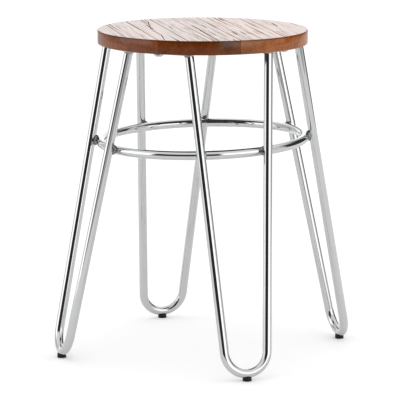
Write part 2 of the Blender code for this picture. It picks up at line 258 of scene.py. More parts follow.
def mapped(tree, coordinates, scale=(1.0, 1.0, 1.0), location=(0.0, 0.0, 0.0),
           rotation=(0.0, 0.0, 0.0)):
    return add_node(tree, "Mapping", Vector=coordinates, Scale=scale, Location=location,
                    Rotation=rotation).outputs["Vector"]


def along_grain(tree, coordinates, share):
    """Coordinates shrunk to this share along the grain, which draws noise out into streaks."""
    return mapped(tree, coordinates, scale=(1.0, share, 1.0))


def bump(tree, height, strength, distance):
    return add_node(tree, "Bump", Height=height, Strength=strength,
                    Distance=distance).outputs["Normal"]


def scaled(colour, share):
    return tuple(share * part for part in colour)


def new_material(name):
    """A material with its tree, its shader and its object coordinates."""
    made = bpy.data.materials.new(name)
    made.use_nodes = True
    tree = made.node_tree
    shader = tree.nodes["Principled BSDF"]
    coordinates = add_node(tree, "TexCoord").outputs["Object"]
    return made, tree, shader, coordinates


# ---------------------------------------------------------------- materials
def chrome_material():
    """Bright nickel-chrome plate over drawn rod: near-mirror, with faint buffing haze."""
    made, tree, shader, coordinates = new_material("chrome_plate")
    haze = noise(tree, coordinates, 45.0, 3.0)
    buffing = noise(tree, coordinates, 60.0)
    tint = ramp(tree, haze, [(0.3, (0.508, 0.512, 0.516)), (0.7, (0.530, 0.533, 0.536))])
    feed_inputs(tree, shader, Base_Color=tint, Metallic=1.0,
                Roughness=between(tree, haze, 0.3, 0.75, 0.025, 0.060),
                Normal=bump(tree, buffing, 0.02, 0.0002))
    return made


def weld_material():
    """Plated metal over a rippled weld bead, much darker and duller than the rods."""
    made, tree, shader, coordinates = new_material("plated_weld")
    grain = noise(tree, coordinates, 900.0, 3.0, 0.6)
    # a much darker base colour than the rods' plate
    tint = ramp(tree, grain, [(0.3, (0.13, 0.13, 0.135)), (0.7, (0.27, 0.272, 0.275))])
    feed_inputs(tree, shader, Base_Color=tint, Metallic=1.0,
                Roughness=between(tree, grain, 0.3, 0.7, 0.16, 0.34),
                Normal=bump(tree, grain, 0.20, 0.0003))
    return made


def zinc_material():
    """Zinc-plated hardware with a fine spangle."""
    made, tree, shader, coordinates = new_material("zinc_plate")
    cells = add_node(tree, "TexVoronoi", Vector=coordinates, Scale=1400.0).outputs["Color"]
    spangle = noise(tree, coordinates, 500.0, 3.0)
    tint = ramp(tree, spangle, [(0.3, (0.50, 0.51, 0.53)), (0.7, (0.66, 0.67, 0.68))])
    feed_inputs(tree, shader, Base_Color=blend_colours(tree, 0.06, tint, cells), Metallic=1.0,
                Roughness=between(tree, spangle, 0.3, 0.7, 0.24, 0.42),
                Normal=bump(tree, spangle, 0.15, 0.0002))
    return made


def brass_material():
    """Turned brass, with fine rings round its axis."""
    made, tree, shader, coordinates = new_material("turned_brass")
    turning = noise(tree, mapped(tree, coordinates, scale=(1.0, 1.0, 40.0)), 120.0, 3.0)
    tint = ramp(tree, turning, [(0.3, (0.58, 0.43, 0.17)), (0.7, (0.76, 0.61, 0.30))])
    feed_inputs(tree, shader, Base_Color=tint, Metallic=1.0,
                Roughness=between(tree, turning, 0.3, 0.7, 0.25, 0.42))
    return made


def rubber_material():
    """Moulded black rubber with a fine matt texture."""
    made, tree, shader, coordinates = new_material("moulded_rubber")
    pebble = noise(tree, coordinates, 2200.0, 3.0, 0.6)
    bloom = noise(tree, coordinates, 160.0)
    tint = ramp(tree, bloom, [(0.3, (0.003, 0.003, 0.0032)), (0.7, (0.006, 0.006, 0.0062))])
    feed_inputs(tree, shader, Base_Color=tint, Specular_IOR_Level=0.25,
                Roughness=between(tree, pebble, 0.3, 0.7, 0.40, 0.58),
                Normal=bump(tree, pebble, 0.25, 0.0002))
    return made


def late_wood(tree, grain, own, middle, pith):
    """Dark late wood of growth rings round the plank's own pith."""
    drift = add_node(tree, "TexNoise", Vector=along_grain(tree, own, 0.12), Scale=28.0,
                     Detail=2.0).outputs["Color"]
    from_pith = mapped(tree, grain, scale=(1.0, 0.06, 1.0),
                       location=(-middle - pith[0], 0.0, -UNDERSIDE - pith[1]))
    wander = add_node(tree, "VectorMath", {"operation": "MULTIPLY_ADD"})
    for socket, value in zip(wander.inputs, (drift, RING_WANDER, from_pith)):
        feed(tree, socket, value)
    rings = add_node(tree, "TexWave", {"wave_type": "RINGS", "rings_direction": "Y",
                                       "wave_profile": "SAW"},
                     Vector=wander.outputs["Vector"], Scale=78.0, Distortion=1.1,
                     Detail=2.0).outputs["Fac"]
    return between(tree, rings, 0.55, 1.0, smooth=True)


def plank_fields(tree, coordinates, number, middle, pith):
    """One plank's patterns, by name."""
    grain = mapped(tree, coordinates, rotation=(0.0, 0.0, -GRAIN_TURN))
    own = mapped(tree, grain, location=(0.37 * number, 0.61 * number, 0.0))
    lines = noise(tree, along_grain(tree, own, 0.018), 560.0, 3.0, 0.62)
    patches = noise(tree, along_grain(tree, own, 0.25), 30.0)
    pores = noise(tree, along_grain(tree, own, 0.035), 2400.0, 2.0, 0.6)
    return {
        "late_wood": late_wood(tree, grain, own, middle, pith),
        "lines": maths(tree, "MULTIPLY", between(tree, lines, 0.50, 0.64),
                       between(tree, patches, 0.35, 0.60, 0.45, 1.3)),
        "pores": between(tree, pores, 0.56, 0.68),
        "figure": noise(tree, along_grain(tree, own, 0.14), 55.0, 3.0, 0.55),
        "fibre": noise(tree, along_grain(tree, own, 0.05), 700.0, 3.0, 0.6),
        "mottle": noise(tree, own, 210.0, 3.0, 0.6),
    }


def plank_colour(tree, fields, base, dark):
    """The plank's own colour with figure, late wood, fibre, mottle and pores."""
    colour = ramp(tree, fields["figure"],
                  [(0.28, dark), (0.48, base), (0.72, scaled(base, LIGHT_GRAIN))])
    colour = blend_colours(tree, maths(tree, "MULTIPLY", fields["late_wood"], 0.42), colour, dark)
    fibre = ramp(tree, fields["fibre"], [(0.30, (0.72, 0.70, 0.68)), (0.70, (1.22, 1.20, 1.18))])
    colour = blend_colours(tree, 1.0, colour, fibre, "MULTIPLY")
    mottle = ramp(tree, fields["mottle"],
                  [(0.30, (0.84, 0.82, 0.80)), (0.70, (1.14, 1.14, 1.14))])
    colour = blend_colours(tree, 1.0, colour, mottle, "MULTIPLY")
    return blend_colours(tree, maths(tree, "MULTIPLY", fields["pores"], 0.55), colour,
                         scaled(dark, 0.35))


def face_colour_and_top_light(tree, fields):
    """The sanded face, alike on every plank, with its figure and dark open lines, in a lighter
    colour that paints the light from above.
    """
    figure = ramp(tree, fields["figure"],
                  [(0.28, (0.70, 0.66, 0.62)), (0.72, (1.25, 1.22, 1.18))])
    colour = blend_colours(tree, 1.0, FACE_WOOD_AND_TOP_LIGHT, figure, "MULTIPLY")
    return blend_colours(tree, maths(tree, "MULTIPLY", fields["lines"], 0.60), colour,
                         scaled(FACE_WOOD_AND_TOP_LIGHT, 0.30))


def rim_dark_band(tree, height):
    """A dark band round the seat's edge, just under its top."""
    upper = between(tree, height, SEAT_TOP - DARK_BAND_TOP[0], SEAT_TOP - DARK_BAND_TOP[1], smooth=True)
    lower = between(tree, height, SEAT_TOP - DARK_BAND_FOOT[1], SEAT_TOP - DARK_BAND_FOOT[0], smooth=True)
    return maths(tree, "MULTIPLY", upper, lower)


def varnish_weight(tree, height, face, underside_share, lines):
    """Full varnish on the face, less down the edge, in open lines and on the underside."""
    edge = between(tree, height, SEAT_TOP - EDGE_VARNISH[0], SEAT_TOP - EDGE_VARNISH[1],
                   0.15, 0.58)
    top = between(tree, height, SEAT_TOP - TOP_VARNISH[1], SEAT_TOP - TOP_VARNISH[0])
    weight = maths(tree, "MAXIMUM", top, edge)
    weight = maths(tree, "MULTIPLY", weight, between(tree, underside_share, 0.0, 1.0, 1.0, 0.08))
    open_grain = maths(tree, "MULTIPLY", maths(tree, "MULTIPLY", lines, face), 0.42)
    return maths(tree, "SUBTRACT", weight, open_grain)


def wood_material(number, middle, pith):
    """A varnished plank, coloured by its own grain and by height down the seat's edge."""
    made, tree, shader, coordinates = new_material(f"varnished_plank_{number}")
    base = PLANK_COLOURS[number - 1]
    dark = scaled(base, DARK_GRAIN)
    fields = plank_fields(tree, coordinates, number, middle, pith)
    height = add_node(tree, "SeparateXYZ", Vector=coordinates).outputs["Z"]
    face = between(tree, height, SEAT_TOP - FACE_DEPTH[1], SEAT_TOP - FACE_DEPTH[0])
    underside_share = between(tree, height, UNDERSIDE + UNDERSIDE_BLEND[1], UNDERSIDE + UNDERSIDE_BLEND[0])

    colour = plank_colour(tree, fields, base, dark)
    # painted light: the face is mixed towards a lighter colour than the edge, as if lit more from
    # above
    colour = blend_colours(tree, maths(tree, "MULTIPLY", face, 0.60), colour,
                           face_colour_and_top_light(tree, fields))
    # darkens a band of the edge just under the top
    colour = blend_colours(tree, maths(tree, "MULTIPLY", rim_dark_band(tree, height), 0.62), colour,
                           scaled(dark, 0.40))
    # the underside is darker and greyer than the planks
    colour = blend_colours(tree, maths(tree, "MULTIPLY", underside_share, 0.93), colour, DARK_UNDERSIDE)

    relief = maths(tree, "ADD", maths(tree, "MULTIPLY", fields["fibre"], 0.6),
                   maths(tree, "MULTIPLY", fields["pores"], -0.5))
    relief = maths(tree, "ADD", relief, maths(tree, "MULTIPLY", fields["late_wood"], 0.35))
    soft_relief = maths(tree, "ADD", fields["mottle"],
                        maths(tree, "MULTIPLY", fields["fibre"], 0.5))
    feed_inputs(tree, shader, Base_Color=colour, IOR=1.5, Specular_IOR_Level=0.0,
                Roughness=between(tree, fields["fibre"], 0.3, 0.7, 0.30, 0.46),
                Normal=bump(tree, relief, 0.55, 0.00025),
                Coat_Weight=varnish_weight(tree, height, face, underside_share, fields["lines"]),
                Coat_Normal=bump(tree, soft_relief, 0.30, 0.0002),
                Coat_Roughness=0.09, Coat_IOR=1.5)
    return made


# ---------------------------------------------------------------- mesh helpers
def finish_mesh(build, name, material, smooth=True):
    """Turn the build into a mesh, smooth except at its sharp edges."""
    bmesh.ops.recalc_face_normals(build, faces=build.faces)
    mesh = bpy.data.meshes.new(name)
    build.to_mesh(mesh)
    build.free()
    mesh.materials.append(material)
    if smooth:
        mesh.shade_smooth()
        mesh.set_sharp_from_angle(angle=SMOOTH_ANGLE)
    return mesh


def place(name, mesh, matrix=None):
    piece = bpy.data.objects.new(name, mesh)
    bpy.context.scene.collection.objects.link(piece)
    if matrix is not None:
        piece.matrix_world = matrix
    return piece


def settle(piece, node):
    """The piece stands for a CAD node of the same make and rides with the stool."""
    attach(piece, "root")
    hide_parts(node)


def cut(piece, helpers, solver="EXACT"):
    """Cut the piece with the helpers and keep the result as its mesh."""
    for helper in helpers:
        modifier = piece.modifiers.new("cut", "BOOLEAN")
        modifier.operation = "DIFFERENCE"
        modifier.solver = solver
        modifier.object = helper
    graph = bpy.context.evaluated_depsgraph_get()
    made = bpy.data.meshes.new_from_object(piece.evaluated_get(graph), depsgraph=graph)
    piece.modifiers.clear()
    piece.data = made
    made.shade_smooth()
    made.set_sharp_from_angle(angle=SMOOTH_ANGLE)


def remove(helpers):
    for helper in helpers:
        bpy.data.objects.remove(helper, do_unlink=True)


def skin(build, rings, wrap):
    """Faces from ring to ring, closed by a cap at each end or by joining the ends."""
    count = len(rings[0])
    following = rings[1:] + rings[:1] if wrap else rings[1:]
    for low, high in zip(rings, following):
        for side in range(count):
            after = (side + 1) % count
            build.faces.new((low[side], low[after], high[after], high[side]))
    if not wrap:
        build.faces.new(rings[0])
        build.faces.new(rings[-1])


def turned(profile, steps, wrap=False):
    """Revolve (radius, height) points about Z. A wrapped profile makes a ring."""
    build = bmesh.new()
    turns = [2.0 * math.pi * step / steps for step in range(steps)]
    rings = [[build.verts.new((radius * math.cos(turn), radius * math.sin(turn), height))
              for turn in turns] for radius, height in profile]
    skin(build, rings, wrap)
    return build


def tube(path, normal, radius):
    """Sweep a round section along a flat path, whose plane has the given normal."""
    build = bmesh.new()
    turns = [2.0 * math.pi * (side + 0.5) / ROD_SIDES for side in range(ROD_SIDES)]
    rings = []
    for index, point in enumerate(path):
        before = path[max(index - 1, 0)]
        after = path[min(index + 1, len(path) - 1)]
        across = normal.cross((after - before).normalized())
        rings.append([build.verts.new(point + radius * (math.cos(turn) * across
                                                        + math.sin(turn) * normal))
                      for turn in turns])
    skin(build, rings, wrap=False)
    return build


def trim(build, point, direction):
    bmesh.ops.bisect_plane(build, geom=build.verts[:] + build.edges[:] + build.faces[:],
                           dist=CUT_TOLERANCE, plane_co=point, plane_no=direction, clear_outer=True)
    bmesh.ops.holes_fill(build, edges=[edge for edge in build.edges if edge.is_boundary])


def rounded_profile(outline, rounding, steps=4):
    """Round the corners of a closed (radius, height) outline."""
    made = []
    count = len(outline)
    for index in range(count):
        corner = Vector(outline[index])
        before = (Vector(outline[index - 1]) - corner).normalized()
        after = (Vector(outline[(index + 1) % count]) - corner).normalized()
        start = corner + rounding * before
        end = corner + rounding * after
        for step in range(steps + 1):
            share = step / steps
            point = ((1.0 - share) ** 2 * start + 2.0 * share * (1.0 - share) * corner
                     + share ** 2 * end)
            made.append((point.x, point.y))
    return made


# ---------------------------------------------------------------- leg geometry, as in the CAD
FOOT_POINT = Vector((FOOT_DISTANCE, 0.0, FOOT_HEIGHT))
LEG_SLOPE = Vector((LEG_TOP_DISTANCE, 0.0, UNDERSIDE)) - FOOT_POINT
LEG_RISE = LEG_SLOPE.normalized()
LEG_ACROSS = Vector((0.0, 1.0, 0.0))
LEG_NORMAL = LEG_ACROSS.cross(LEG_RISE)
OVERRUN = 0.012


def in_leg_plane(across, along):
    return FOOT_POINT + across * LEG_ACROSS + along * LEG_RISE


def bend_end_angle():
    reach_up = LEG_SLOPE.length - BEND_RADIUS
    reach = math.hypot(LEG_TOP_SPREAD, reach_up)
    return math.atan2(reach_up, LEG_TOP_SPREAD) - math.acos(BEND_RADIUS / reach)


def bend_point(angle):
    return in_leg_plane(BEND_RADIUS * math.cos(angle), BEND_RADIUS * (1.0 + math.sin(angle)))


def straight_rod():
    """The +Y rod's line: the end of the bend, the direction up to the seat, and the top."""
    start = bend_point(bend_end_angle())
    top = in_leg_plane(LEG_TOP_SPREAD, LEG_SLOPE.length)
    return start, (top - start).normalized(), top


def leg_path():
    _, direction, top = straight_rod()
    end = top + OVERRUN * direction
    high = bend_end_angle()
    low = -math.pi - high
    angles = [low + (high - low) * step / BEND_STEPS for step in range(BEND_STEPS + 1)]
    return [end * Vector((1.0, -1.0, 1.0))] + [bend_point(angle) for angle in angles] + [end]


def leg_turn(index):
    return Matrix.Rotation(index * math.pi / 2.0, 4, "Z")


def rods():
    """Every straight rod as (leg index, rod number, point, direction) in the stool's frame."""
    point, direction, _ = straight_rod()
    for index in range(len(LEG_NAMES)):
        for number, side in ((1, -1.0), (2, 1.0)):
            turn = leg_turn(index) @ Matrix.Diagonal((1.0, side, 1.0, 1.0))
            yield index, number, turn @ point, turn.to_3x3() @ direction


class RingFit:
    """The largest ring, at its height and tilt, that fits inside the eight rods with a gap."""

    def __init__(self):
        self.rotation = Matrix.Rotation(-RING_TILT, 3, "Y")
        self.axis = self.rotation @ Vector((0.0, 0.0, 1.0))
        self.centre = Vector((0.0, 0.0, RING_HEIGHT))
        self.radius = min(self.reach(rod) for rod in rods())

    def directions(self, rod):
        """How far out the rod crosses the ring's plane, and the directions there."""
        _, _, point, direction = rod
        travel = (self.centre - point).dot(self.axis) / direction.dot(self.axis)
        crossing = point + travel * direction - self.centre
        outward = crossing.normalized()
        tangent = self.axis.cross(outward)
        contact = tangent.cross(direction).normalized()
        if contact.dot(outward) < 0.0:
            contact.negate()
        return crossing.length, outward, tangent, contact

    def reach(self, rod):
        distance, outward, _, contact = self.directions(rod)
        return distance - (2.0 * ROD_RADIUS + GAP) / outward.dot(contact)

    def contact_frame(self, rod):
        """Frame at the middle of the joint: along the ring, along the rod, across both."""
        distance, outward, tangent, contact = self.directions(rod)
        spacing = (distance - self.radius) * outward.dot(contact)
        middle = self.centre + self.radius * outward + 0.5 * spacing * contact
        made = Matrix((tangent, contact.cross(tangent), contact)).transposed().to_4x4()
        made.translation = middle
        return made


# ---------------------------------------------------------------- metal pieces
def make_legs(chrome):
    build = tube(leg_path(), LEG_NORMAL, ROD_RADIUS)
    trim(build, Vector((0.0, 0.0, LEG_TOP)), Vector((0.0, 0.0, 1.0)))
    mesh = finish_mesh(build, "hairpin_leg", chrome)
    for index, name in enumerate(LEG_NAMES):
        settle(place(f"hairpin_{name}", mesh, leg_turn(index)), name + "_leg")


def make_rod_helpers():
    build = tube(leg_path(), LEG_NORMAL, ROD_RADIUS + HELPER_CLEARANCE)
    mesh = finish_mesh(build, "rod_helper", None)
    return [place(f"rod_helper_{name}", mesh, leg_turn(index))
            for index, name in enumerate(LEG_NAMES)]


def ring_mesh(fit, radius, name, material):
    turns = [2.0 * math.pi * (side + 0.5) / ROD_SIDES for side in range(ROD_SIDES)]
    profile = [(fit.radius + radius * math.cos(turn), radius * math.sin(turn)) for turn in turns]
    return finish_mesh(turned(profile, RING_STEPS, wrap=True), name, material)


def make_ring(fit, chrome):
    matrix = Matrix.Translation(fit.centre) @ fit.rotation.to_4x4()
    settle(place("brace_ring", ring_mesh(fit, ROD_RADIUS, "brace_ring", chrome), matrix),
           "foot_ring")
    helper = ring_mesh(fit, ROD_RADIUS + HELPER_CLEARANCE, "ring_helper", None)
    return place("ring_helper", helper, matrix)


def weld_bead(size, ripple, waves):
    """An ellipsoid bead whose skin is rippled along its length, like stacked weld pools."""
    build = bmesh.new()
    bmesh.ops.create_uvsphere(build, u_segments=TURN_STEPS, v_segments=BEAD_STEPS,
                              radius=1.0)
    for vertex in build.verts:
        x, y, z = vertex.co
        swell = 1.0 + ripple * math.sin(waves * math.pi * x + 1.2 * z * z)
        lumps = 1.0 + 0.5 * ripple * math.sin(3.0 * math.pi * y + 2.0 * x)
        scale = swell * lumps / (1.0 + 1.5 * ripple)
        vertex.co = (size[0] * x * scale, size[1] * y * scale, size[2] * z * scale)
    return build


def make_ring_welds(fit, weld, rod_helpers, ring_helper):
    for rod in rods():
        index, number = rod[0], rod[1]
        name = f"{LEG_NAMES[index]}_leg_{number}"
        build = weld_bead(RING_WELD_SIZE, RING_WELD_RIPPLE, RING_WELD_WAVES)
        bead = place("ring_bead_" + name, finish_mesh(build, "ring_bead_" + name, weld),
                     fit.contact_frame(rod))
        cut(bead, (rod_helpers[index], ring_helper))
        settle(bead, "ring_weld_" + name)


def bar_frames():
    """Each bar's number and its two ends, from the rod of one leg to that of the next."""
    tops = {}
    for index, number, point, direction in rods():
        tops[index, number] = point + direction * ((LEG_TOP - point.z) / direction.z)
    for index in range(len(LEG_NAMES)):
        yield index, tops[index, 2], tops[(index + 1) % len(LEG_NAMES), 1]


def make_bars(chrome):
    """Flat bars with rounded corners and eased edges, drilled in the middle."""
    hole = place("bar_hole_helper", finish_mesh(
        turned([(HOLE_RADIUS, -BAR_THICKNESS), (HOLE_RADIUS, BAR_THICKNESS)], TURN_STEPS),
        "bar_hole_helper", None))
    for index, start, end in bar_frames():
        size = ((end - start).length + 2.0 * BAR_OVERHANG, BAR_WIDTH, BAR_THICKNESS, 1.0)
        build = bmesh.new()
        bmesh.ops.create_cube(build, size=1.0, matrix=Matrix.Diagonal(size))
        upright = [edge for edge in build.edges
                   if abs(edge.verts[0].co.z - edge.verts[1].co.z) > 0.5 * BAR_THICKNESS]
        bmesh.ops.bevel(build, geom=upright, offset=BAR_CORNER, segments=BAR_CORNER_STEPS,
                        profile=0.5, affect="EDGES")
        level = [edge for edge in build.edges
                 if abs(edge.verts[0].co.z - edge.verts[1].co.z) < GAP]
        bmesh.ops.bevel(build, geom=level, offset=BAR_EDGE, segments=BAR_EDGE_STEPS,
                        profile=0.5, affect="EDGES")
        corner = CORNER_NAMES[index]
        middle = 0.5 * (start + end)
        middle.z = BAR_BOTTOM + 0.5 * BAR_THICKNESS
        heading = math.atan2(end.y - start.y, end.x - start.x)
        bar = place("flat_bar_" + corner, finish_mesh(build, "flat_bar_" + corner, chrome),
                    Matrix.Translation(middle) @ Matrix.Rotation(heading, 4, "Z"))
        hole.matrix_world = Matrix.Translation(middle)
        cut(bar, (hole,))
        settle(bar, "mounting_bar_" + corner)
    remove((hole,))


def make_bar_welds(weld, rod_helpers):
    """A rippled fillet round the inboard side of each rod's top, under the bar."""
    profile = [(BAR_WELD_BOTTOM_RADIUS, -BAR_WELD_HEIGHT),
               (BAR_WELD_BOTTOM_RADIUS + BAR_WELD_SWELL, -0.5 * BAR_WELD_HEIGHT),
               (BAR_WELD_TOP_RADIUS, -BAR_WELD_LIP), (BAR_WELD_TOP_RADIUS, 0.0)]
    for index, start, end in bar_frames():
        following = (index + 1) % len(LEG_NAMES)
        along = (end - start).normalized()
        for leg, number, top, outward in ((index, 2, start, -along), (following, 1, end, along)):
            build = turned(profile, TURN_STEPS)
            for vertex in build.verts:
                turn = math.atan2(vertex.co.y, vertex.co.x)
                vertex.co.xy *= 1.0 + BAR_WELD_RIPPLE * math.sin(BAR_WELD_WAVES * turn)
            trim(build, outward * BAR_WELD_OUTBOARD, outward)
            name = f"{LEG_NAMES[leg]}_leg_{number}"
            bead = place("bar_bead_" + name, finish_mesh(build, "bar_bead_" + name, weld),
                         Matrix.Translation(top))
            cut(bead, (rod_helpers[leg],))
            settle(bead, "bar_weld_" + name)


def bolt_mesh(zinc):
    """Low domed head with a hexagonal socket, on a plain shank."""
    head_top = BAR_BOTTOM - GAP - WASHER_THICKNESS - GAP
    dome = [(BOLT_HEAD_FLAT, head_top - BOLT_HEAD_HEIGHT)]
    for step in range(2, DOME_STEPS + 1):
        angle = 0.5 * math.pi * step / DOME_STEPS
        dome.append((BOLT_HEAD_RADIUS * math.sin(angle),
                     head_top - BOLT_HEAD_HEIGHT * math.cos(angle)))
    tip = UNDERSIDE + BOLT_ENGAGEMENT
    profile = dome + [(BOLT_HEAD_RADIUS, head_top), (BOLT_SHANK_RADIUS, head_top),
                      (BOLT_SHANK_RADIUS, tip - BOLT_TIP_CHAMFER),
                      (BOLT_SHANK_RADIUS - BOLT_TIP_CHAMFER, tip)]
    return finish_mesh(turned(profile, TURN_STEPS), "button_bolt", zinc)


def tube_mesh(low, high, outer, rounding, name, material):
    """A short tube with rounded edges, from low to high, bored to take a bolt."""
    outline = [(HOLE_RADIUS, low), (outer, low), (outer, high), (HOLE_RADIUS, high)]
    build = turned(rounded_profile(outline, rounding), TURN_STEPS, wrap=True)
    return finish_mesh(build, name, material)


def make_fasteners(zinc, brass):
    """Bolt, washer and threaded insert at the middle of each bar."""
    bolt = place("bolt_blank", bolt_mesh(zinc))
    head_low = min(vertex.co.z for vertex in bolt.data.vertices)
    outline = [(SOCKET_RADIUS, head_low - SOCKET_OVERCUT),
               (SOCKET_RADIUS, head_low + SOCKET_DEPTH)]
    socket = place("socket_helper", finish_mesh(turned(outline, SOCKET_SIDES), "socket_helper",
                                                None, smooth=False))
    cut(bolt, (socket,))
    washer_top = BAR_BOTTOM - GAP
    washer = tube_mesh(washer_top - WASHER_THICKNESS, washer_top, WASHER_RADIUS,
                       WASHER_ROUNDING, "flat_washer", zinc)
    insert = tube_mesh(UNDERSIDE, UNDERSIDE + INSERT_LENGTH, INSERT_RADIUS,
                       INSERT_ROUNDING, "wood_insert", brass)
    for index, start, end in bar_frames():
        middle = 0.5 * (start + end)
        middle.z = 0.0
        matrix = Matrix.Translation(middle)
        corner = CORNER_NAMES[index]
        settle(place("button_bolt_" + corner, bolt.data, matrix), "seat_bolt_" + corner)
        settle(place("flat_washer_" + corner, washer, matrix), "bolt_washer_" + corner)
        settle(place("wood_insert_" + corner, insert, matrix), "threaded_insert_" + corner)
    remove((bolt, socket))


def make_foot_pads(rubber, rod_helpers):
    """Moulded glides with rounded edges, a shallow waist and a saddle for the rod."""
    outline = [(PAD_RADIUS - PAD_ROUNDING, 0.0)]
    for step in range(1, PAD_ROUND_STEPS + 1):
        angle = 0.5 * math.pi * step / PAD_ROUND_STEPS
        outline.append((PAD_RADIUS - PAD_ROUNDING + PAD_ROUNDING * math.sin(angle),
                        PAD_ROUNDING - PAD_ROUNDING * math.cos(angle)))
    outline += [(PAD_RADIUS - inset, height) for inset, height in PAD_SIDE]
    for index, name in enumerate(LEG_NAMES):
        build = turned(outline, TURN_STEPS)
        foot = leg_turn(index) @ Vector((FOOT_DISTANCE, 0.0, 0.0))
        pad = place("glide_" + name, finish_mesh(build, "glide_" + name, rubber),
                    Matrix.Translation(foot))
        cut(pad, (rod_helpers[index],))
        settle(pad, name + "_foot_pad")


# ---------------------------------------------------------------- seat surface
NOISE_CELLS = (256, 60)          # across and along the grain
NOISE_START = (113.3, 27.7)      # cell at the middle of the seat


def streaks(across, along, width, length, seed):
    """Smooth noise from -1 to 1, in cells of the given width and length."""
    size = (NOISE_CELLS[0] + 1, NOISE_CELLS[1] + 1)
    table = np.random.default_rng(seed).uniform(-1.0, 1.0, size)
    u = (across / width + NOISE_START[0]) % NOISE_CELLS[0]
    v = (along / length + NOISE_START[1]) % NOISE_CELLS[1]
    i, j = u.astype(int), v.astype(int)
    s, t = u - i, v - j
    s, t = s * s * (3.0 - 2.0 * s), t * t * (3.0 - 2.0 * t)
    low = table[i, j] * (1.0 - s) + table[i + 1, j] * s
    high = table[i, j + 1] * (1.0 - s) + table[i + 1, j + 1] * s
    return low * (1.0 - t) + high * t


# each split in the planks: its course as (across, along) points, its width and its depth
SPLITS = (
    (((-0.079, -0.118), (-0.073, -0.067), (-0.0722, 0.018), (-0.059, 0.101)), 0.0016, 0.0012),
    (((-0.026, -0.090), (-0.033, -0.020), (-0.034, 0.060)), 0.0012, 0.0008),
    (((0.0362, -0.150), (0.0355, 0.020), (0.0372, 0.150)), 0.0012, 0.0008),
    (((0.0715, -0.086), (0.0720, -0.055)), 0.0013, 0.0009),
    (((-0.1010, -0.080), (-0.1015, 0.010)), 0.0011, 0.0007),
    (((0.1080, -0.030), (0.1070, 0.080)), 0.0010, 0.0006),
    (((0.0020, -0.140), (0.0035, -0.020)), 0.0010, 0.0006),
    (((-0.0640, 0.060), (-0.0655, 0.136)), 0.0012, 0.0008),
)
SPLIT_TAPER = 0.012
SPLIT_STEEPNESS = 1.6
SPLIT_WANDER = 0.0005            # sideways, in waves of the next length
SPLIT_WANDER_LENGTH = 0.017
SPLIT_SEED = 91

# gentle waves in the brushed top: their depth, width and length
BRUSHED_WAVES = ((0.00006, 0.0085, 0.240), (0.00004, 0.0036, 0.110), (0.00003, 0.0015, 0.050))
SAW_MARK_SIZE = (0.0019, 0.090)  # width and length
SAW_MARK_DEPTH = 0.00050
SAW_MARK_START = 0.60            # noise at which a mark begins
SAW_MARK_RISE = 0.25             # noise from there to its full depth
JOINT_DEPTH = 0.0007             # the planks' arrises are eased by this
JOINT_WIDTH = 0.0008


def split_depth(across, along, course, width, depth):
    """Depth of one split, steep-sided and running out at both ends."""
    steps = np.array(course)
    centre = np.interp(along, steps[:, 1], steps[:, 0])
    centre = centre + SPLIT_WANDER * streaks(across * 0.0, along, 1.0, SPLIT_WANDER_LENGTH,
                                             SPLIT_SEED)
    off = np.abs(across - centre) / (0.5 * width)
    past = np.maximum(steps[0, 1] - along, along - steps[-1, 1])
    fade = np.clip(1.0 - past / SPLIT_TAPER, 0.0, 1.0)
    return depth * fade * np.clip(SPLIT_STEEPNESS - SPLIT_STEEPNESS * off, 0.0, 1.0)


def surface_depth(across, along, low, high, level, seed):
    """How far the sawn, brushed and varnished top lies below the seat's highest plane."""
    depth = np.full_like(across, level)
    for step, (swell, width, length) in enumerate(BRUSHED_WAVES):
        depth += swell * (1.0 + streaks(across, along, width, length, seed + step))
    saw = streaks(across, along, *SAW_MARK_SIZE, seed + len(BRUSHED_WAVES))
    depth += SAW_MARK_DEPTH * np.clip((saw - SAW_MARK_START) / SAW_MARK_RISE, 0.0, 1.0)
    for course, width, deep in SPLITS:
        depth = np.maximum(depth, split_depth(across, along, course, width, deep))
    edge = np.minimum(across - low, high - across)
    depth += JOINT_DEPTH * np.clip(1.0 - edge / JOINT_WIDTH, 0.0, 1.0)
    return depth


def stave_columns(low, high):
    """(across position, share of the rim's fan) of each column of a stave."""
    outer = max(abs(low), abs(high))
    if outer < SEAT_RADIUS:
        count = int((high - low) / COLUMN_WIDTH)
        return [(low + (high - low) * step / count, 0.0) for step in range(count + 1)]
    side = -1.0 if low < 0.0 else 1.0
    inner = min(abs(low), abs(high))
    flat_radius = SEAT_RADIUS - SEAT_ROUNDING
    widest = math.acos(inner / flat_radius)
    count = int(FAN_DENSITY * (outer - inner) / COLUMN_WIDTH)
    columns = []
    for step in range(count + 1):
        share = step / count
        turn = widest * (1.0 - share) + FAN_END * share
        columns.append((side * flat_radius * math.cos(turn), share))
    return columns if side > 0.0 else columns[::-1]


def rim_offsets():
    """(radius, height, share of the surface relief kept) down the rim, from the flat top."""
    made = []
    for step in range(1, ROUND_STEPS + 1):
        angle = 0.5 * math.pi * step / ROUND_STEPS
        made.append((SEAT_RADIUS - SEAT_ROUNDING * (1.0 - math.sin(angle)),
                     SEAT_TOP - SEAT_ROUNDING * (1.0 - math.cos(angle)), math.cos(angle)))
    for step in range(ROUND_STEPS + 1):
        angle = 0.5 * math.pi * step / ROUND_STEPS
        made.append((SEAT_RADIUS - SEAT_ROUNDING * (1.0 - math.cos(angle)),
                     UNDERSIDE + SEAT_ROUNDING * (1.0 - math.sin(angle)), 0.0))
    return made


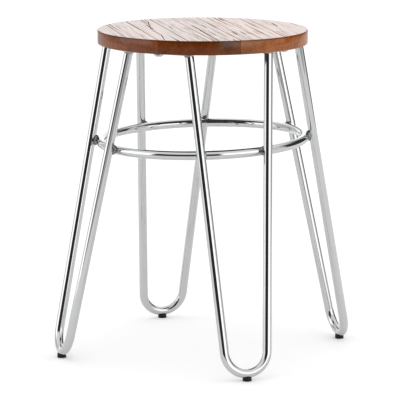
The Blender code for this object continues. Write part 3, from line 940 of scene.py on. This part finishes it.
def column_loop(across, share, limits, level, seed):
    """Closed loop of points round one column of a stave: top, far rim, bottom, near rim."""
    flat_radius = SEAT_RADIUS - SEAT_ROUNDING
    half = math.sqrt(max(flat_radius ** 2 - across ** 2, 0.0))
    along = np.linspace(-half, half, ROW_COUNT)
    wide = np.full_like(along, across)
    depth = surface_depth(wide, along, *limits, level, seed)
    top = np.column_stack((wide, along, SEAT_TOP - depth))
    rim = []
    slope = abs(across) / flat_radius
    for radius, height, kept in rim_offsets():
        moved = across + math.copysign((radius - flat_radius) * slope * share, across)
        reach = math.sqrt(max(radius ** 2 - moved ** 2, 0.0))
        rim.append((moved, reach, height, kept))
    far = [(moved, reach, height - kept * depth[-1]) for moved, reach, height, kept in rim]
    near = [(moved, -reach, height - kept * depth[0]) for moved, reach, height, kept in rim[::-1]]
    return np.vstack((top, far, near))


def stave_mesh(number, low, high, material):
    """Loft the columns' loops into one closed plank."""
    low = low + 0.5 * STAVE_GAP if low > -SEAT_RADIUS else low
    high = high - 0.5 * STAVE_GAP if high < SEAT_RADIUS else high
    level = LEVEL_STEPS[number - 1]
    loops = [column_loop(across, share, (low, high), level, 10 * number)
             for across, share in stave_columns(low, high)]
    size = len(loops[0])
    points = np.vstack(loops)
    turn = Matrix.Rotation(GRAIN_TURN, 3, "Z")
    points = points @ np.array(turn.transposed())
    faces = []
    for column in range(len(loops) - 1):
        start, following = column * size, (column + 1) * size
        for row in range(size):
            after = (row + 1) % size
            faces.append((start + row, start + after, following + after, following + row))
    faces.append(tuple(range(size)))
    faces.append(tuple(range((len(loops) - 1) * size, len(loops) * size)))
    mesh = bpy.data.meshes.new(f"plank_{number}")
    mesh.from_pydata(points.tolist(), [], faces)
    build = bmesh.new()
    build.from_mesh(mesh)
    bpy.data.meshes.remove(mesh)
    return finish_mesh(build, f"plank_{number}", material)


def make_staves():
    """Eight planks of one round seat, drilled from below for the threaded inserts."""
    across = Vector((math.cos(GRAIN_TURN), math.sin(GRAIN_TURN), 0.0))
    hole_mesh = finish_mesh(
        turned([(INSERT_RADIUS + GAP, UNDERSIDE - GAP),
                (INSERT_RADIUS + GAP, UNDERSIDE + INSERT_HOLE_DEPTH)], TURN_STEPS),
        "insert_hole_helper", None)
    holes = []
    for index, start, end in bar_frames():
        middle = 0.5 * (start + end)
        middle.z = 0.0
        hole = place(f"insert_hole_{index}", hole_mesh, Matrix.Translation(middle))
        holes.append((middle.dot(across), hole))
    limits = (-SEAT_RADIUS, *STAVE_JOINTS, SEAT_RADIUS)
    for number, (low, high) in enumerate(zip(limits, limits[1:]), start=1):
        material = wood_material(number, 0.5 * (low + high), STAVE_PITHS[number - 1])
        plank = place(f"plank_{number}", stave_mesh(number, low, high, material))
        mine = [hole for position, hole in holes if low < position < high]
        if mine:
            cut(plank, mine, solver="MANIFOLD")
        settle(plank, f"seat_stave_{number}")
    remove([hole for _, hole in holes])


# ---------------------------------------------------------------- studio
def make_camera():
    """Long lens at standing-product height, a little left of the front leg."""
    data = bpy.data.cameras.new("camera")
    data.lens = CAMERA_LENS
    data.sensor_width = 36.0
    camera = bpy.data.objects.new("camera", data)
    bpy.context.scene.collection.objects.link(camera)
    camera.location = (CAMERA_DISTANCE * math.sin(CAMERA_BEARING),
                       -CAMERA_DISTANCE * math.cos(CAMERA_BEARING), CAMERA_HEIGHT)
    camera.rotation_euler = (0.5 * math.pi - CAMERA_PITCH, 0.0, CAMERA_BEARING + CAMERA_YAW)
    bpy.context.scene.camera = camera


def make_floor():
    """A sheet of pale paper, which ends a little way in front of the stool."""
    build = bmesh.new()
    corners = ((-FLOOR_SIDE, -FLOOR_FRONT), (FLOOR_SIDE, -FLOOR_FRONT),
               (FLOOR_SIDE, FLOOR_BACK), (-FLOOR_SIDE, FLOOR_BACK))
    build.faces.new([build.verts.new((x, y, 0.0)) for x, y in corners])
    material, tree, shader, coordinates = new_material("pale_paper")
    fleck = noise(tree, coordinates, 900.0)
    tint = ramp(tree, fleck, [(0.3, (PAPER_WHITE[0],) * 3), (0.7, (PAPER_WHITE[1],) * 3)])
    feed_inputs(tree, shader, Base_Color=tint, Roughness=1.0, Specular_IOR_Level=0.0,
                Emission_Color=(1.0, 1.0, 1.0, 1.0), Emission_Strength=FLOOR_GLOW)
    floor = place("floor", finish_mesh(build, "floor", material, smooth=False),
                  Matrix.Translation((0.0, 0.0, -FLOOR_DROP))
                  @ Matrix.Rotation(CAMERA_BEARING, 4, "Z"))
    if floor.data.polygons[0].normal.z < 0.0:
        floor.data.flip_normals()


# brightness of the studio walls round the stool, in degrees right of the camera
STUDIO_WALLS = (
    (-180, 1.36), (-152, 1.36), (-147, 0.85), (-104, 0.80), (-99, 2.1), (-60, 2.1), (-54, 0.04),
    (17, 0.04), (23, 2.1), (66, 2.1), (71, 0.95), (98, 0.95), (104, 0.05), (152, 0.05),
    (157, 1.36), (180, 1.36),
)
CEILING_LEVEL = 1.2
CEILING_RISE = (0.42, 0.72)      # sine of the elevation at which it begins and is full
FAR_FLOOR_LEVEL = 0.58           # studio floor beyond the paper
FAR_FLOOR_FALL = (-0.05, -0.10)


def make_world():
    """White backdrop with two softboxes beside a dark camera side, seen in the chrome."""
    world = bpy.data.worlds.new("studio")
    bpy.context.scene.world = world
    world.use_nodes = True
    world.cycles.sampling_method = "NONE"
    tree = world.node_tree
    direction = add_node(tree, "TexCoord").outputs["Generated"]
    from_camera = mapped(tree, direction, rotation=(0.0, 0.0, -CAMERA_BEARING))
    parts = add_node(tree, "SeparateXYZ", Vector=from_camera)
    bearing = maths(tree, "ARCTAN2", parts.outputs["X"],
                    maths(tree, "MULTIPLY", parts.outputs["Y"], -1.0))
    share = between(tree, bearing, -math.pi, math.pi)
    brightest = max(level for _, level in STUDIO_WALLS)
    stops = [((angle + 180.0) / 360.0, (level / brightest,) * 3) for angle, level in STUDIO_WALLS]
    walls = blend_colours(tree, 1.0, ramp(tree, share, stops), (brightest,) * 3, "MULTIPLY")
    ceiling = between(tree, parts.outputs["Z"], *CEILING_RISE, smooth=True)
    studio = blend_colours(tree, ceiling, walls, (CEILING_LEVEL,) * 3)
    far_floor = between(tree, parts.outputs["Z"], *FAR_FLOOR_FALL)
    studio = blend_colours(tree, far_floor, studio, (FAR_FLOOR_LEVEL,) * 3)
    rays = add_node(tree, "LightPath").outputs
    seen = blend_colours(tree, rays["Is Glossy Ray"], (WORLD_LEVEL,) * 3, studio)
    seen = blend_colours(tree, rays["Is Camera Ray"], seen, (1.0, 1.0, 1.0))
    feed_inputs(tree, tree.nodes["Background"], Color=seen, Strength=1.0)


def build_stool():
    """Every piece of the stool, with the helpers that welds and pads are cut by."""
    chrome = chrome_material()
    weld = weld_material()
    fit = RingFit()
    rod_helpers = make_rod_helpers()
    ring_helper = make_ring(fit, chrome)
    make_legs(chrome)
    make_ring_welds(fit, weld, rod_helpers, ring_helper)
    make_bars(chrome)
    make_bar_welds(weld, rod_helpers)
    make_foot_pads(rubber_material(), rod_helpers)
    make_fasteners(zinc_material(), brass_material())
    make_staves()
    remove((*rod_helpers, ring_helper))


make_camera()
make_floor()
make_world()
build_stool()
bpy.context.scene.view_settings.view_transform = "Standard"
